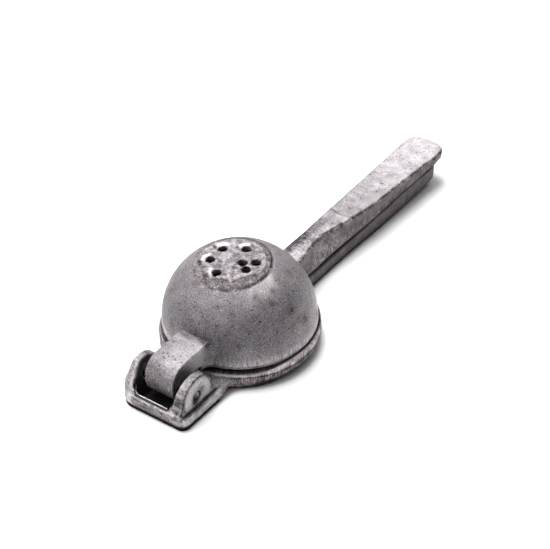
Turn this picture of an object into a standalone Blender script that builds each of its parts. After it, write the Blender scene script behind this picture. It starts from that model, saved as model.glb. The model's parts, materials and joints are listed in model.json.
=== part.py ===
"""Hand-held citrus squeezer: two sand-cast aluminium levers that swing on one steel hinge pin.

Metres, +Z up. The squeezer lies closed on the plane Z = 0 with its bowl upside down. The X axis runs
from the hinge yoke to the handle ends, and +Y is the left side. The origin is the middle of the
footprint. Shapes are drawn with X measured from the bowl's axis, and settle() shifts them by BOWL_X.
"""

import math

import bmesh
import bpy
from mathutils import Matrix, Vector

MM = 0.001

# The bowl: a spherical shell for the lemon half, cut off at its rim.
BOWL_X = -41.48 * MM
BOWL_CENTRE_Z = 11.3 * MM
BOWL_RADIUS = 32.0 * MM
BOWL_WALL = 3.5 * MM
RIM_Z = 9.3 * MM

# The strainer: a flattened raised disc on top of the bowl, leaning off the bowl's axis.
STRAINER_LEAN = math.radians(6.0)
STRAINER_LEAN_TOWARDS = math.radians(147.0)
STRAINER_BASE_RADIUS = 15.9 * MM
STRAINER_TOP_RADIUS = 13.4 * MM
STRAINER_EDGE_HEIGHT = 28.9 * MM
STRAINER_TOP_HEIGHT = 29.7 * MM
STRAINER_THICKNESS = 3.6 * MM
HOLE_RADIUS = 1.9 * MM
# Each drilled hole's distance from the strainer's centre, and its bearing in degrees.
HOLES = ((8.8, 61), (8.7, -6), (9.0, 113), (8.8, 172), (9.9, -66), (8.4, -101), (4.7, -77))

# The hinge.
PIN_X = -48.5 * MM
PIN_Z = 10.0 * MM
PIN_RADIUS = 1.9 * MM
PIN_LEFT_Y = 13.9 * MM
PIN_RIGHT_Y = -14.7 * MM
PIN_BORE_RADIUS = 2.25 * MM
TONGUE_HALF_WIDTH = 7.0 * MM
TONGUE_TOP_Z = 20.8 * MM
TONGUE_FRONT_X = -54.0 * MM
TONGUE_ARM_BOTTOM_Z = 12.0 * MM
TONGUE_HUB_RADIUS = 5.2 * MM
TONGUE_FLARE = 5.0 * MM
TONGUE_FLARE_TOP_Z = 19.6 * MM

# The presser plate and the dome that squeezes the fruit. The plate leans until its edge meets the rim.
PLATE_RADIUS = 33.3 * MM
PLATE_TOP_RADIUS = 32.6 * MM
PLATE_SEAT_RADIUS = 30.8 * MM
PLATE_BOTTOM_Z = 2.9 * MM
PLATE_TOP_Z = 8.1 * MM
PLATE_EDGE_DROP = 0.6 * MM
PLATE_LEAN = math.radians(1.5)
PLATE_HIGH_BEARING = math.radians(-45.0)
DOME_RADIUS = 21.5 * MM
DOME_WALL = 3.5 * MM
DOME_CENTRE_Z = 7.6 * MM

# The yoke: a U-shaped frame with two ears that hold the pin.
YOKE_FRONT_X = -60.4 * MM
YOKE_LEFT_Y = 15.8 * MM
YOKE_RIGHT_Y = -17.4 * MM
YOKE_CORNER_RIGHT = 3.5 * MM
YOKE_CORNER_LEFT = 7.0 * MM
YOKE_FILLET = 8.0 * MM
FLANGE_TOP_Z = 5.6 * MM
FRONT_BAR_TOP_Z = 6.6 * MM
FRONT_BAR_THICKNESS = 2.4 * MM
LEDGE_DEPTH = 2.6 * MM
LEDGE_TOP_Z = 2.5 * MM
WEB_TOP_Z = 1.2 * MM
SLOT_REAR_X = -37.0 * MM
FOOT_REAR_X = -36.5 * MM
EAR_RADIUS = 9.3 * MM
# Each ear's inner Y at its foot, its outer Y, and the height of its top.
LEFT_EAR = (8.5 * MM, 14.6 * MM, 17.1 * MM)
RIGHT_EAR = (-8.8 * MM, -15.2 * MM, 19.4 * MM)
EAR_FOOT_Z = 3.0 * MM
# The ears' inner faces lean apart: how far each moves along Y for each unit up from its foot.
LEFT_EAR_DRAFT = 0.25
RIGHT_EAR_DRAFT = -0.155
# The left ear's front is filed off, from the (X, Z) of the chamfer's foot to its head.
LEFT_EAR_CHAMFER = ((-58.2 * MM, 9.4 * MM), (-51.4 * MM, 16.6 * MM))

# The handles. Each row is X, the left and right half-widths of the top face, and the half-width of
# the underside, in millimetres.
UPPER_OUTLINE = (
    (29.0, 5.2, 7.0, 7.2), (35.0, 4.3, 6.4, 6.9), (41.0, 4.7, 5.0, 6.6), (47.0, 4.9, 4.0, 6.3),
    (54.0, 5.2, 3.3, 6.1), (61.0, 5.7, 3.9, 6.2), (72.0, 6.4, 5.7, 6.6), (82.0, 7.0, 6.7, 7.0),
    (89.0, 7.3, 7.7, 7.4), (101.0, 7.6, 7.9, 7.8), (114.0, 8.0, 8.7, 8.4), (126.0, 8.6, 8.9, 8.7),
    (134.0, 9.0, 9.8, 9.3),
)
UPPER_END_X = 143.4 * MM
UPPER_CORNER = 6.0 * MM
LOWER_OUTLINE = (
    (26.0, 8.0, 8.0, 8.0), (33.0, 6.9, 6.9, 7.1), (39.0, 6.5, 6.5, 6.7), (48.0, 6.1, 6.1, 6.4),
    (62.0, 6.1, 6.1, 6.2), (78.0, 6.6, 6.6, 6.6), (95.0, 7.2, 7.2, 7.2), (114.0, 7.6, 7.6, 7.6),
    (132.0, 8.2, 8.4, 8.2),
)
LOWER_END_X = 137.8 * MM
LOWER_CORNER = 4.0 * MM
HANDLE_BEVEL = 0.9 * MM
# Heights along the handles as (X, Z) pairs in millimetres.
UPPER_TOP = ((29.0, 20.9), (45.0, 20.0), (72.0, 18.6), (75.0, 17.9), (143.4, 16.6))
UPPER_UNDERSIDE = ((29.0, 9.4), (37.0, 9.0), (46.0, 8.0), (84.0, 8.5), (100.0, 9.7), (143.4, 11.8))
LOWER_TOP = ((26.0, 8.4), (37.0, 8.0), (48.0, 6.8), (74.0, 7.4), (90.0, 8.6), (102.0, 9.4), (137.8, 11.1))
LOWER_UNDERSIDE = ((26.0, 4.2), (33.0, 2.6), (39.0, 0.0), (95.0, 0.0), (137.8, 3.2))
CHANNEL_START_X = 60.0 * MM
CHANNEL_END_X = 122.0 * MM
CHANNEL_HALF_WIDTH = 3.4 * MM
CHANNEL_ROOF_Z = 4.6 * MM

# Steps of the round shapes, and how far round the corners at a handle's end turn, in degrees.
TURN_STEPS = 56
ARC_STEPS = 11
CORNER_STEPS = 5
BORE_STEPS = 24
HOLE_STEPS = 16
PIN_STEPS = 20
END_TURN = 84.0
# How far a cutting tool reaches past what it cuts.
CUT_MARGIN = 10.0 * MM


def clear_scene():
    for thing in list(bpy.data.objects):
        bpy.data.objects.remove(thing, do_unlink=True)


def cast_metal(name, colour, roughness, metallic):
    material = bpy.data.materials.new(name)
    material.use_nodes = True
    shader = material.node_tree.nodes["Principled BSDF"]
    shader.inputs["Base Color"].default_value = (*colour, 1.0)
    shader.inputs["Roughness"].default_value = roughness
    shader.inputs["Metallic"].default_value = metallic
    return material


def finish_mesh(name, mesh_data):
    """Turn a bmesh into an object, with its faces pointing out."""
    bmesh.ops.recalc_face_normals(mesh_data, faces=mesh_data.faces)
    mesh = bpy.data.meshes.new(name)
    mesh_data.to_mesh(mesh)
    mesh_data.free()
    thing = bpy.data.objects.new(name, mesh)
    bpy.context.collection.objects.link(thing)
    return thing


def arc(centre_a, centre_b, radius, start, end, steps):
    """Points on an arc, with the angles in degrees from the first axis."""
    points = []
    for step in range(steps + 1):
        angle = math.radians(start + (end - start) * step / steps)
        points.append((centre_a + radius * math.cos(angle), centre_b + radius * math.sin(angle)))
    return points


def turned(name, profile, steps=TURN_STEPS):
    """Spin an open (radius, height) profile, whose two ends lie on the axis, about Z."""
    mesh_data = bmesh.new()
    corners = [mesh_data.verts.new((radius, 0.0, height)) for radius, height in profile]
    edges = [mesh_data.edges.new(pair) for pair in zip(corners, corners[1:])]
    bmesh.ops.spin(mesh_data, geom=corners + edges, cent=(0, 0, 0), axis=(0, 0, 1),
                   angle=math.tau, steps=steps, use_merge=True)
    bmesh.ops.remove_doubles(mesh_data, verts=mesh_data.verts, dist=1e-6)
    return finish_mesh(name, mesh_data)


def prism(name, outline, low, high, upright=False):
    """Extrude an outline: (x, y) points along Z, or (x, z) points along Y when upright."""
    mesh_data = bmesh.new()
    if upright:
        corners = [mesh_data.verts.new((x, low, z)) for x, z in outline]
        direction = Vector((0, high - low, 0))
    else:
        corners = [mesh_data.verts.new((x, y, low)) for x, y in outline]
        direction = Vector((0, 0, high - low))
    base = mesh_data.faces.new(corners)
    top = bmesh.ops.extrude_face_region(mesh_data, geom=[base])
    moved = [item for item in top["geom"] if isinstance(item, bmesh.types.BMVert)]
    bmesh.ops.translate(mesh_data, vec=direction, verts=moved)
    return finish_mesh(name, mesh_data)


def circle(centre_a, centre_b, radius, steps):
    return arc(centre_a, centre_b, radius, 0, 360 - 360 / steps, steps - 1)


def bore_across(target, half_length):
    """Cut the hinge pin's bore."""
    bore = prism("bore", circle(PIN_X, PIN_Z, PIN_BORE_RADIUS, BORE_STEPS), -half_length, half_length, True)
    boolean(target, bore, "DIFFERENCE")


def boolean(target, tool, operation):
    """Apply one boolean to the target's mesh and remove the tool."""
    modifier = target.modifiers.new(operation, "BOOLEAN")
    modifier.operation = operation
    modifier.solver = "EXACT"
    modifier.object = tool
    bpy.context.view_layer.update()
    evaluated = target.evaluated_get(bpy.context.evaluated_depsgraph_get())
    joined = bpy.data.meshes.new_from_object(evaluated)
    target.modifiers.clear()
    target.data = joined
    bpy.data.objects.remove(tool, do_unlink=True)


def along(table, x):
    """Read a height, in metres, from (X, Z) pairs in millimetres."""
    x_mm = x / MM
    for (x0, z0), (x1, z1) in zip(table, table[1:]):
        if x_mm <= x1:
            return (z0 + (z1 - z0) * max(0.0, x_mm - x0) / (x1 - x0)) * MM
    return table[-1][1] * MM


def handle_stations(outline, end_x, corner):
    """The outline's rows in metres, then rows that round off the two corners of the end."""
    rows = [tuple(value * MM for value in row) for row in outline]
    last_x, *widths = rows[-1]
    start = max(last_x, end_x - corner)
    for step in range(1, CORNER_STEPS + 1):
        turn = math.radians(END_TURN * step / CORNER_STEPS)
        pull_in = corner * (1.0 - math.cos(turn))
        rows.append((start + (end_x - start) * math.sin(turn), *(width - pull_in for width in widths)))
    return rows


def handle(name, rows, top_table, underside_table):
    """Loft a bar through chamfered sections that are wider or narrower below than on top."""
    mesh_data = bmesh.new()
    rings = []
    for x, left, right, foot in rows:
        high = along(top_table, x)
        low = along(underside_table, x)
        cut = min(HANDLE_BEVEL, (high - low) / 3)
        section = ((foot, low + cut), (left, high - cut), (left - cut, high), (cut - right, high),
                   (-right, high - cut), (-foot, low + cut), (cut - foot, low), (foot - cut, low))
        rings.append([mesh_data.verts.new((x, y, z)) for y, z in section])
    for ring, next_ring in zip(rings, rings[1:]):
        for i, corner in enumerate(ring):
            j = (i + 1) % len(ring)
            mesh_data.faces.new((corner, ring[j], next_ring[j], next_ring[i]))
    mesh_data.faces.new(rings[0])
    mesh_data.faces.new(rings[-1])
    bmesh.ops.triangulate(mesh_data, faces=mesh_data.faces)
    return finish_mesh(name, mesh_data)


def strainer_frame():
    """The leaning frame of the bowl's turned shell: the strainer's axis is its Z."""
    lean_axis = Vector((-math.sin(STRAINER_LEAN_TOWARDS), math.cos(STRAINER_LEAN_TOWARDS), 0))
    return Matrix.Translation((0, 0, BOWL_CENTRE_Z)) @ Matrix.Rotation(STRAINER_LEAN, 4, lean_axis)


def bowl_shell():
    """The bowl with its strainer top, turned about the strainer's axis, then cut off at the rim."""
    inner_radius = BOWL_RADIUS - BOWL_WALL
    inner_top = STRAINER_TOP_HEIGHT - STRAINER_THICKNESS
    outer_end = math.degrees(math.acos(STRAINER_BASE_RADIUS / BOWL_RADIUS))
    inner_end = math.degrees(math.asin(inner_top / inner_radius))
    below_rim = -20.0
    crown_drop = 0.2 * MM
    crown_middle = (STRAINER_TOP_RADIUS / 2, STRAINER_TOP_HEIGHT - crown_drop)
    profile = [(0.0, inner_top)] + arc(0, 0, inner_radius, inner_end, below_rim, ARC_STEPS)
    profile += arc(0, 0, BOWL_RADIUS, below_rim, outer_end, ARC_STEPS)
    profile += [(STRAINER_TOP_RADIUS, STRAINER_EDGE_HEIGHT), crown_middle, (0.0, STRAINER_TOP_HEIGHT)]
    shell = turned("strainer_lever", profile)
    shell.data.transform(strainer_frame())
    reach = BOWL_RADIUS + CUT_MARGIN
    square = ((-reach, -reach), (reach, -reach), (reach, reach), (-reach, reach))
    boolean(shell, prism("rim_cutter", square, -BOWL_RADIUS, RIM_Z), "DIFFERENCE")
    return shell


def drill_strainer(lever):
    frame = strainer_frame()
    for distance, bearing in HOLES:
        angle = math.radians(bearing)
        x = distance * MM * math.cos(angle)
        y = distance * MM * math.sin(angle)
        hole = circle(x, y, HOLE_RADIUS, HOLE_STEPS)
        drill = prism("drill", hole, BOWL_RADIUS / 2, BOWL_RADIUS + CUT_MARGIN)
        drill.data.transform(frame)
        boolean(lever, drill, "DIFFERENCE")


def tongue():
    """The hinge tongue: an arm from the bowl that drops to a hub around the pin."""
    brow_x = PIN_X + 1.5 * MM
    nose_z = 12.4 * MM
    front = []
    for degrees in range(0, 91, 15):
        angle = math.radians(degrees)
        front.append((brow_x + (TONGUE_FRONT_X - brow_x) * math.sin(angle),
                      nose_z + (TONGUE_TOP_Z - nose_z) * math.cos(angle)))
    hub = arc(PIN_X, PIN_Z, TONGUE_HUB_RADIUS, 205, 325, 6)
    neck_x = -41.0 * MM
    rear_x = -29.2 * MM
    under = [(neck_x, TONGUE_ARM_BOTTOM_Z), (rear_x, TONGUE_ARM_BOTTOM_Z)]
    outline = front + hub + under + [(rear_x, TONGUE_TOP_Z)]
    return prism("tongue", outline, -TONGUE_HALF_WIDTH, TONGUE_HALF_WIDTH, True)


def tongue_flare():
    """The tongue's root, which spreads into the bowl's wall in two hollow curves."""
    flare_y = TONGUE_HALF_WIDTH + TONGUE_FLARE
    flare_x = -math.sqrt((BOWL_RADIUS + TONGUE_FLARE) ** 2 - flare_y ** 2)
    swing = math.degrees(math.atan2(flare_y, -flare_x))
    wall_radius = BOWL_RADIUS - BOWL_WALL / 2
    outline = arc(flare_x, flare_y, TONGUE_FLARE, -swing, -90, CORNER_STEPS)
    outline += arc(flare_x, -flare_y, TONGUE_FLARE, 90, swing, CORNER_STEPS)
    outline += arc(0, 0, wall_radius, 180 + swing, 180 - swing, CORNER_STEPS)
    return prism("tongue_flare", outline, RIM_Z + 0.2 * MM, TONGUE_FLARE_TOP_Z)


def strainer_lever():
    """The upper casting: bowl, strainer, tongue and upper handle."""
    lever = bowl_shell()
    boolean(lever, tongue_flare(), "UNION")
    boolean(lever, tongue(), "UNION")
    rows = handle_stations(UPPER_OUTLINE, UPPER_END_X, UPPER_CORNER)
    boolean(lever, handle("upper_handle", rows, UPPER_TOP, UPPER_UNDERSIDE), "UNION")
    bore_across(lever, 2 * TONGUE_HALF_WIDTH)
    drill_strainer(lever)
    return lever


def plate_and_dome():
    """The round plate with its pressing dome, hollow underneath, as one turned shell that leans."""
    hollow_radius = DOME_RADIUS - DOME_WALL
    mouth = math.degrees(math.asin((PLATE_BOTTOM_Z - DOME_CENTRE_Z) / hollow_radius))
    foot = math.degrees(math.asin(2.2 * MM / DOME_RADIUS))
    edge = 0.8 * MM
    shoulder_z = PLATE_TOP_Z - PLATE_EDGE_DROP
    hollow = arc(0, DOME_CENTRE_Z, hollow_radius, 90, mouth, ARC_STEPS)
    rim = [(PLATE_RADIUS - edge, PLATE_BOTTOM_Z), (PLATE_RADIUS, PLATE_BOTTOM_Z + edge),
           (PLATE_RADIUS, shoulder_z - edge), (PLATE_TOP_RADIUS, shoulder_z),
           (PLATE_SEAT_RADIUS, PLATE_TOP_Z)]
    root_reach = 1.6 * MM
    root_rise = 0.5 * MM
    root = [(DOME_RADIUS + root_reach, PLATE_TOP_Z),
            (DOME_RADIUS + root_reach / 5, PLATE_TOP_Z + root_rise)]
    dome = arc(0, DOME_CENTRE_Z, DOME_RADIUS, foot, 90, ARC_STEPS)
    hollow[0] = (0.0, DOME_CENTRE_Z + hollow_radius)
    dome[-1] = (0.0, DOME_CENTRE_Z + DOME_RADIUS)
    shell = turned("presser_lever", hollow + rim + root + dome)
    lean_axis = Vector((math.sin(PLATE_HIGH_BEARING), -math.cos(PLATE_HIGH_BEARING), 0))
    pivot = Matrix.Translation((0, 0, PLATE_TOP_Z))
    shell.data.transform(pivot @ Matrix.Rotation(PLATE_LEAN, 4, lean_axis) @ pivot.inverted())
    return shell


def yoke_side(y):
    """One side's concave run from the yoke's flange into the plate: its centre and its swing."""
    fillet_y = abs(y) + YOKE_FILLET
    fillet_x = -math.sqrt((PLATE_RADIUS + YOKE_FILLET) ** 2 - fillet_y ** 2)
    return fillet_x, fillet_y, math.degrees(math.atan2(fillet_y, -fillet_x))


def yoke_outline():
    """The yoke from above, with rounded front corners and a concave run into the plate on each side."""
    inside_x = -24.0 * MM
    inside_y = 12.0 * MM
    left = YOKE_CORNER_LEFT
    right = YOKE_CORNER_RIGHT
    outline = arc(YOKE_FRONT_X + left, YOKE_LEFT_Y - left, left, 90, 180, CORNER_STEPS)
    outline += arc(YOKE_FRONT_X + right, YOKE_RIGHT_Y + right, right, 180, 270, CORNER_STEPS)
    fillet_x, fillet_y, swing = yoke_side(YOKE_RIGHT_Y)
    outline += arc(fillet_x, -fillet_y, YOKE_FILLET, 90, swing, CORNER_STEPS)
    outline += [(inside_x, -inside_y), (inside_x, inside_y)]
    fillet_x, fillet_y, swing = yoke_side(YOKE_LEFT_Y)
    return outline + arc(fillet_x, fillet_y, YOKE_FILLET, -swing, -90, CORNER_STEPS)


def front_bar():
    """The raised bar that joins the two ears in front. The yoke's outline trims it."""
    overlap = 1.0 * MM
    front_x = YOKE_FRONT_X - CUT_MARGIN
    inner_x = YOKE_FRONT_X + FRONT_BAR_THICKNESS + overlap
    right = RIGHT_EAR[1] + overlap
    left = LEFT_EAR[1] - overlap
    outline = ((front_x, right), (inner_x, right), (inner_x, left), (front_x, left))
    return prism("front_bar", outline, EAR_FOOT_Z, FRONT_BAR_TOP_Z)


def ear(inner_y, outer_y, top_z):
    """One ear: an arch around the pin, standing on the flange."""
    toe = 1.4 * MM
    instep = 1.1 * MM
    heel = 2.2 * MM
    front_x = PIN_X - EAR_RADIUS
    rear_x = PIN_X + EAR_RADIUS + heel
    outline = [(front_x - toe, EAR_FOOT_Z), (front_x - instep, FRONT_BAR_TOP_Z)]
    for x, z in arc(0, 0, 1.0, 172, 5, 11):
        outline.append((PIN_X + EAR_RADIUS * x, PIN_Z + (top_z - PIN_Z) * z))
    outline += [(rear_x, FLANGE_TOP_Z), (rear_x, EAR_FOOT_Z)]
    return prism("ear", outline, min(inner_y, outer_y), max(inner_y, outer_y), True)


def chamfer_left_ear(frame):
    (foot_x, foot_z), (head_x, head_z) = LEFT_EAR_CHAMFER
    outline = ((foot_x, foot_z), (head_x, head_z), (head_x, head_z + CUT_MARGIN),
               (foot_x - CUT_MARGIN, head_z + CUT_MARGIN), (foot_x - CUT_MARGIN, foot_z))
    boolean(frame, prism("chamfer", outline, 0.0, YOKE_LEFT_Y + CUT_MARGIN, True), "DIFFERENCE")


def cut_slot(frame):
    """Cut the slot for the tongue between the leaning inner faces of the ears.

    It leaves a low ledge behind the bar and a thin web underneath.
    """
    inner_x = YOKE_FRONT_X + FRONT_BAR_THICKNESS
    ledge_x = inner_x + LEDGE_DEPTH
    above = PIN_Z + EAR_RADIUS + CUT_MARGIN
    slot = [(ledge_x, WEB_TOP_Z), (ledge_x, LEDGE_TOP_Z), (inner_x, LEDGE_TOP_Z), (inner_x, above),
            (SLOT_REAR_X, above), (SLOT_REAR_X, WEB_TOP_Z)]
    tool = prism("slot", slot, RIGHT_EAR[0], LEFT_EAR[0], True)
    for corner in tool.data.vertices:
        draft = LEFT_EAR_DRAFT if corner.co.y > 0 else RIGHT_EAR_DRAFT
        corner.co.y += draft * (corner.co.z - EAR_FOOT_Z)
    boolean(frame, tool, "DIFFERENCE")


def lift_rear(frame):
    """Raise the underside of the flange behind the yoke's foot, where it runs into the plate."""
    lift_z = 3.6 * MM
    lift_x = FOOT_REAR_X + 4.5 * MM
    outline = ((FOOT_REAR_X, -CUT_MARGIN), (FOOT_REAR_X, 0.0), (lift_x, lift_z), (0.0, lift_z),
               (0.0, -CUT_MARGIN))
    wedge = prism("flange_lift", outline, YOKE_RIGHT_Y - CUT_MARGIN, YOKE_LEFT_Y + CUT_MARGIN, True)
    boolean(frame, wedge, "DIFFERENCE")


def yoke():
    """The yoke's flange, bar and ears, trimmed to one outline from above."""
    reach = PLATE_RADIUS
    front_x = YOKE_FRONT_X - CUT_MARGIN
    slab = ((front_x, -reach), (0.0, -reach), (0.0, reach), (front_x, reach))
    frame = prism("yoke", slab, 0.0, FLANGE_TOP_Z)
    boolean(frame, front_bar(), "UNION")
    boolean(frame, ear(*LEFT_EAR), "UNION")
    boolean(frame, ear(*RIGHT_EAR), "UNION")
    boolean(frame, prism("yoke_trim", yoke_outline(), -CUT_MARGIN, 3 * CUT_MARGIN), "INTERSECT")
    chamfer_left_ear(frame)
    cut_slot(frame)
    lift_rear(frame)
    return frame


def lower_handle():
    rows = handle_stations(LOWER_OUTLINE, LOWER_END_X, LOWER_CORNER)
    bar = handle("lower_handle", rows, LOWER_TOP, LOWER_UNDERSIDE)
    half = CHANNEL_HALF_WIDTH
    outline = arc(CHANNEL_END_X - half, 0.0, half, -90, 90, 6)
    outline += arc(CHANNEL_START_X + half, 0.0, half, 90, 270, 6)
    boolean(bar, prism("channel", outline, -CUT_MARGIN, CHANNEL_ROOF_Z), "DIFFERENCE")
    return bar


def presser_lever():
    """The lower casting: plate, dome, yoke with two ears, and lower handle."""
    lever = plate_and_dome()
    boolean(lever, yoke(), "UNION")
    boolean(lever, lower_handle(), "UNION")
    bore_across(lever, YOKE_LEFT_Y - YOKE_RIGHT_Y)
    return lever


def hinge_pin():
    """A plain steel pin with chamfered ends, set a little below the outer faces of the ears."""
    chamfer = 0.4 * MM
    profile = [(0.0, PIN_RIGHT_Y), (PIN_RADIUS - chamfer, PIN_RIGHT_Y), (PIN_RADIUS, PIN_RIGHT_Y + chamfer),
               (PIN_RADIUS, PIN_LEFT_Y - chamfer), (PIN_RADIUS - chamfer, PIN_LEFT_Y), (0.0, PIN_LEFT_Y)]
    pin = turned("hinge_pin", profile, PIN_STEPS)
    pin.data.transform(Matrix.Translation((PIN_X, 0, PIN_Z)) @ Matrix.Rotation(math.radians(-90), 4, "X"))
    return pin


def settle(thing, material):
    """Put the object's origin on the hinge axis and shift it from the bowl's axis to the footprint."""
    origin = Vector((PIN_X, 0.0, PIN_Z))
    thing.data.transform(Matrix.Translation(-origin))
    thing.location = origin + Vector((BOWL_X, 0.0, 0.0))
    thing.data.materials.clear()
    thing.data.materials.append(material)
    thing.data.shade_smooth()
    thing.data.set_sharp_from_angle(angle=math.radians(30))


def main():
    clear_scene()
    bowl_metal = cast_metal("cast_aluminium_upper", (0.42, 0.42, 0.43), 0.5, 0.9)
    plate_metal = cast_metal("cast_aluminium_lower", (0.36, 0.35, 0.35), 0.5, 0.9)
    pin_metal = cast_metal("pin_steel", (0.30, 0.30, 0.31), 0.4, 1.0)
    settle(strainer_lever(), bowl_metal)
    settle(presser_lever(), plate_metal)
    settle(hinge_pin(), pin_metal)


main()
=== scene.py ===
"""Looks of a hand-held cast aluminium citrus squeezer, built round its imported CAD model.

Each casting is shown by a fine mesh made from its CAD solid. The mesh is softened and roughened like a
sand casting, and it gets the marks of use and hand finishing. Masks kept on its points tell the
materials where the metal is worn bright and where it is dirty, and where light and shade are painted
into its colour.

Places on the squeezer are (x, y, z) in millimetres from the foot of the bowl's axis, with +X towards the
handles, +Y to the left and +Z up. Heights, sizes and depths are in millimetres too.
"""
import json
import math
from types import SimpleNamespace

import bmesh
import bpy
import numpy as np
from mathutils import Matrix, Vector, noise
from mathutils.bvhtree import BVHTree


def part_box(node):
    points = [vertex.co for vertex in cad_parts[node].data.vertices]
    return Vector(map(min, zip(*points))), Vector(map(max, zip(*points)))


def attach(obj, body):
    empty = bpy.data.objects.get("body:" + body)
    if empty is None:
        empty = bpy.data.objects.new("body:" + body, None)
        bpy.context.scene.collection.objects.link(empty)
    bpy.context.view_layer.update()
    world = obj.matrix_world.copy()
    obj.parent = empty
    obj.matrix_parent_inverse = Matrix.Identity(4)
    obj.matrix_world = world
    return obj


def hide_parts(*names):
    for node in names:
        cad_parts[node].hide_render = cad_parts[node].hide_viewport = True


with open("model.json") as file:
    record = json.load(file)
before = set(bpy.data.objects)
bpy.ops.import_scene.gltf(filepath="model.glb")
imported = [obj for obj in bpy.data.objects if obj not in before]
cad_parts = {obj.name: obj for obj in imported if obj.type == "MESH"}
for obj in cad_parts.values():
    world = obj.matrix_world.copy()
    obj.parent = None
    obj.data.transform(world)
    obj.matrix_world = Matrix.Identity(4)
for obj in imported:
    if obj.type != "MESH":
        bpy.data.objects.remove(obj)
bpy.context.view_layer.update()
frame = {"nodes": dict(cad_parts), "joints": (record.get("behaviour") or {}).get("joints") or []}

MM = 0.001
HINGE = Vector(frame["joints"][0]["pos_m"])
# The hinge pin, from the bowl's axis and from the table.
PIN_X = -48.5
PIN_Z = HINGE.z / MM
# The foot of the bowl's axis in the frame, in metres.
BOWL_FOOT = Vector((HINGE.x - PIN_X * MM, 0.0, 0.0))
BOWL_RADIUS = 32.0
BOWL_CENTRE = np.array((0.0, 0.0, 11.3))
RIM_Z = 9.3
# The strainer's axis leans this many degrees from upright, towards this bearing from the handle.
STRAINER_LEAN = 6.0
STRAINER_LEAN_TOWARDS = 147.0
# The strainer's flat top, up its axis from the bowl's centre.
STRAINER_TOP_HEIGHT = 29.7
# The fine meshes' cell size.
VOXEL = 0.45


# ---------------------------------------------------------------- fine meshes

def place_new(name, data):
    """A new object in the scene, made of the data."""
    thing = bpy.data.objects.new(name, data)
    bpy.context.scene.collection.objects.link(thing)
    return thing


def mesh_from(shell, name):
    """A mesh made from a bmesh, which is used up."""
    mesh = bpy.data.meshes.new(name)
    shell.to_mesh(mesh)
    shell.free()
    return mesh


def keep_mask(mesh, name, values):
    """Store a mask on the mesh's points, held between 0 and 1, for the materials to read."""
    mask = mesh.attributes.new(name, "FLOAT", "POINT")
    mask.data.foreach_set("value", np.clip(values, 0.0, 1.0).astype(np.float32))


class Skin:
    """A fine mesh's points in millimetres, with their normals and neighbours."""

    def __init__(self, thing):
        self.thing = thing
        mesh = thing.data
        flat = np.empty(len(mesh.vertices) * 3)
        mesh.vertices.foreach_get("co", flat)
        self.points = (flat.reshape(-1, 3) - np.array(BOWL_FOOT)) / MM
        pairs = np.empty(len(mesh.edges) * 2, dtype=int)
        mesh.edges.foreach_get("vertices", pairs)
        self.pairs = pairs.reshape(-1, 2)
        self.count = len(self.points)
        self.degree = np.bincount(pairs, minlength=self.count)
        self.refresh()

    def refresh(self):
        """Write the points into the mesh and read its normals."""
        mesh = self.thing.data
        mesh.vertices.foreach_set("co", (self.points * MM + np.array(BOWL_FOOT)).ravel())
        mesh.update()
        flat = np.empty(self.count * 3)
        mesh.vertices.foreach_get("normal", flat)
        self.normals = flat.reshape(-1, 3)

    def neighbour_mean(self, values):
        """Each point's mean over its neighbours, of a column of values or of (x, y, z) rows."""
        first, second = self.pairs.T
        columns = values.reshape(self.count, -1)
        total = [np.bincount(first, column[second], self.count)
                 + np.bincount(second, column[first], self.count) for column in columns.T]
        return (np.array(total) / self.degree).T.reshape(values.shape)

    def blur(self, values, rounds):
        """Spread the values over the neighbours, once for each round."""
        for _ in range(rounds):
            values = 0.4 * values + 0.6 * self.neighbour_mean(values)
        return values

    def soften(self, rounds, share=1.0):
        """Smooth the points. The share, from 0 to 1, may differ from point to point."""
        for _ in range(rounds):
            step = 0.5 * (self.neighbour_mean(self.points) - self.points)
            self.points = self.points + step * np.reshape(share, (-1, 1))
        self.refresh()

    def raise_by(self, height):
        """Move the points along their normals by a height in millimetres."""
        self.points = self.points + self.normals * np.reshape(height, (-1, 1))
        self.refresh()

    def convexity(self):
        """How sharply the surface turns at each point: above 0 on edges, below 0 in corners."""
        inward = self.points - self.neighbour_mean(self.points)
        return np.einsum("ij,ij->i", inward, self.normals) / VOXEL

    def keep(self, name, values):
        """Store a mask on this skin's points."""
        keep_mask(self.thing.data, name, values)

    def edges(self, rounds=2):
        """1 on the outer edges, blurred over their neighbours, and 0 on flat places."""
        return self.blur(between(self.convexity(), 0.03, 0.16), rounds)

    def nooks(self):
        """1 in the inner corners, blurred over their neighbours, and 0 on flat places."""
        return self.blur(between(-self.convexity(), 0.03, 0.2), 3)


def fine_copy(name, node):
    """An even, fine mesh of a CAD node's shape."""
    shell = bmesh.new()
    shell.from_mesh(frame["nodes"][node].data)
    bmesh.ops.remove_doubles(shell, verts=shell.verts, dist=1e-6)
    thing = place_new(name, mesh_from(shell, name))
    remesh = thing.modifiers.new("even", "REMESH")
    remesh.mode = "VOXEL"
    remesh.voxel_size = VOXEL * MM
    evaluated = thing.evaluated_get(bpy.context.evaluated_depsgraph_get())
    thing.data = bpy.data.meshes.new_from_object(evaluated)
    thing.modifiers.clear()
    thing.data.materials.clear()
    thing.data.shade_smooth()
    return thing


def between(values, low, high):
    """0 below low, 1 above high, and smooth from one to the other."""
    share = np.clip((values - low) / (high - low), 0.0, 1.0)
    return share * share * (3.0 - 2.0 * share)


def window(values, low, full_from, full_to, high):
    """1 between the two middle numbers, and smoothly down to 0 at the outer two."""
    return between(values, low, full_from) * (1 - between(values, full_to, high))


def near(values, middle, width):
    """1 at the middle, falling smoothly to 0 some way past the width on both sides."""
    return np.exp(-((values - middle) / width) ** 2)


def blend(values, share, towards):
    """Move the values towards another value by a share from 0 to 1."""
    return values + (towards - values) * share


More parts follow.
